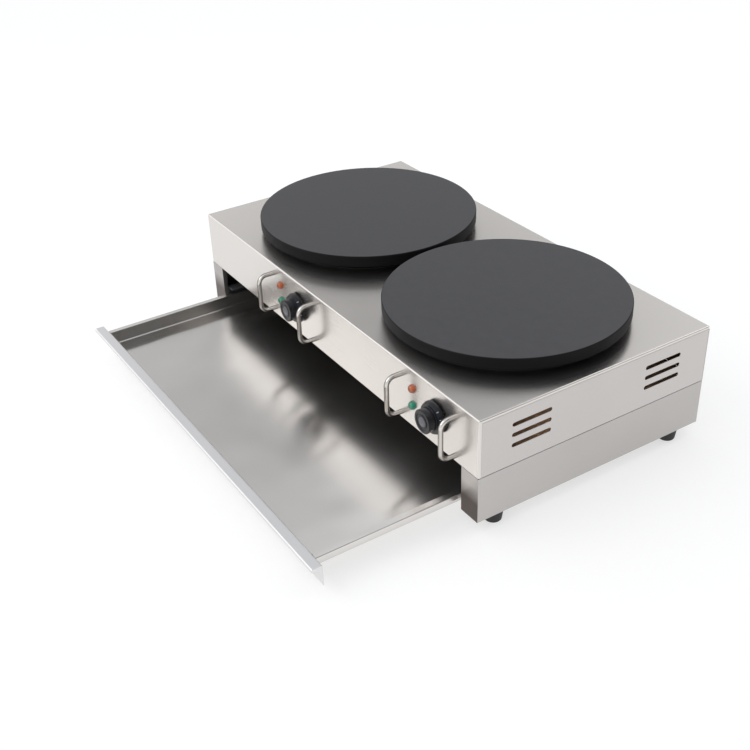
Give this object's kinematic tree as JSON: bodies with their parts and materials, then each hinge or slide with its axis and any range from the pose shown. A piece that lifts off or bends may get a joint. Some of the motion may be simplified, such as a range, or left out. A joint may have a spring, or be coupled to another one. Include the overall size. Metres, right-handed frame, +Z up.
{
  "type": "electric griddle",
  "caption": "Double round-plate electric griddle for crepes: low sheet steel cabinet on rubber feet, with front guard handles, control knobs, pilot lamps and a wide pull-out drip drawer.",
  "frame": {"origin": "on the standing surface, under the middle of the cabinet", "axes": "+X to the right seen from the front, +Y from the front to the back, +Z up"},
  "size_m": [0.86, 0.7285, 0.2365],
  "materials": {
    "steel_case": "fine satin stainless sheet",
    "steel_base": "satin stainless sheet, folded",
    "steel_tray": "smooth satin stainless sheet",
    "zinc_sheet": "zinc-coated sheet, dull",
    "cast_plate": "machined and seasoned, dark satin",
    "black_enamel": "matt black heat-proof enamel",
    "element_tube": "oxidised heater tube",
    "insulation": "pressed ceramic fibre",
    "fastener": "plain bright",
    "rod_steel": "polished rod",
    "knob_black": "moulded thermoset with a soft sheen",
    "cap_silver": "bright cap",
    "thermostat_case": "moulded case",
    "copper": "copper capillary",
    "lens_red": "translucent orange-red lens",
    "lens_green": "translucent green lens",
    "lamp_white": "moulded lamp body",
    "rubber_foot": "matt black rubber",
    "terminal_white": "ceramic-like block",
    "gland_black": "moulded gland",
    "brass_stud": "plain brass"
  },
  "bodies": {
    "cabinet": {"top_cover": "steel_case", "side_panel_left": "steel_case", "side_panel_right": "steel_case", "rear_panel": "steel_case", "bottom_pan": "zinc_sheet", "centre_divider": "zinc_sheet", "base_shell": "steel_base", "rail_left": "zinc_sheet", "rail_right": "zinc_sheet", "foot_front_left": "rubber_foot", "foot_front_right": "rubber_foot", "foot_rear_left": "rubber_foot", "foot_rear_right": "rubber_foot", "foot_screws": "fastener", "plate_left": "cast_plate", "plate_right": "cast_plate", "support_ring_left": "black_enamel", "support_ring_right": "black_enamel", "element_left": "element_tube", "element_right": "element_tube", "element_clamp_left": "zinc_sheet", "element_clamp_right": "zinc_sheet", "insulation_left": "insulation", "insulation_right": "insulation", "heat_pan_left": "zinc_sheet", "heat_pan_right": "zinc_sheet", "plate_studs_left": "fastener", "plate_studs_right": "fastener", "thermostat_left": "thermostat_case", "thermostat_right": "thermostat_case", "sensor_left": "copper", "sensor_right": "copper", "lamp_red_left": "lens_red", "lamp_red_right": "lens_red", "lamp_green_left": "lens_green", "lamp_green_right": "lens_green", "lamp_bodies": "lamp_white", "handle_1": "rod_steel", "handle_2": "rod_steel", "handle_3": "rod_steel", "handle_4": "rod_steel", "handle_screws": "fastener", "terminal_block": "terminal_white", "cable_gland": "gland_black", "bond_stud": "brass_stud", "casing_screws": "fastener", "rail_rivets": "fastener"},
    "drawer": {"drawer_tray": "steel_tray", "drawer_front": "steel_tray", "drawer_rivets": "fastener"},
    "control_left": {"knob_left": "knob_black", "knob_cap_left": "cap_silver", "shaft_left": "fastener"},
    "control_right": {"knob_right": "knob_black", "knob_cap_right": "cap_silver", "shaft_right": "fastener"}
  },
  "joints": [
    {"name": "drawer_slide", "type": "slide", "parent": "cabinet", "child": "drawer", "axis": [0, -1, 0], "range_m": [-0.246, 0.036]},
    {"name": "knob_left_turn", "type": "hinge", "parent": "cabinet", "child": "control_left", "pos_m": [-0.0815, -0.24, 0.157], "axis": [0, 1, 0], "range_deg": [0, 280]},
    {"name": "knob_right_turn", "type": "hinge", "parent": "cabinet", "child": "control_right", "pos_m": [0.3275, -0.24, 0.157], "axis": [0, 1, 0], "range_deg": [0, 280]}
  ]
}
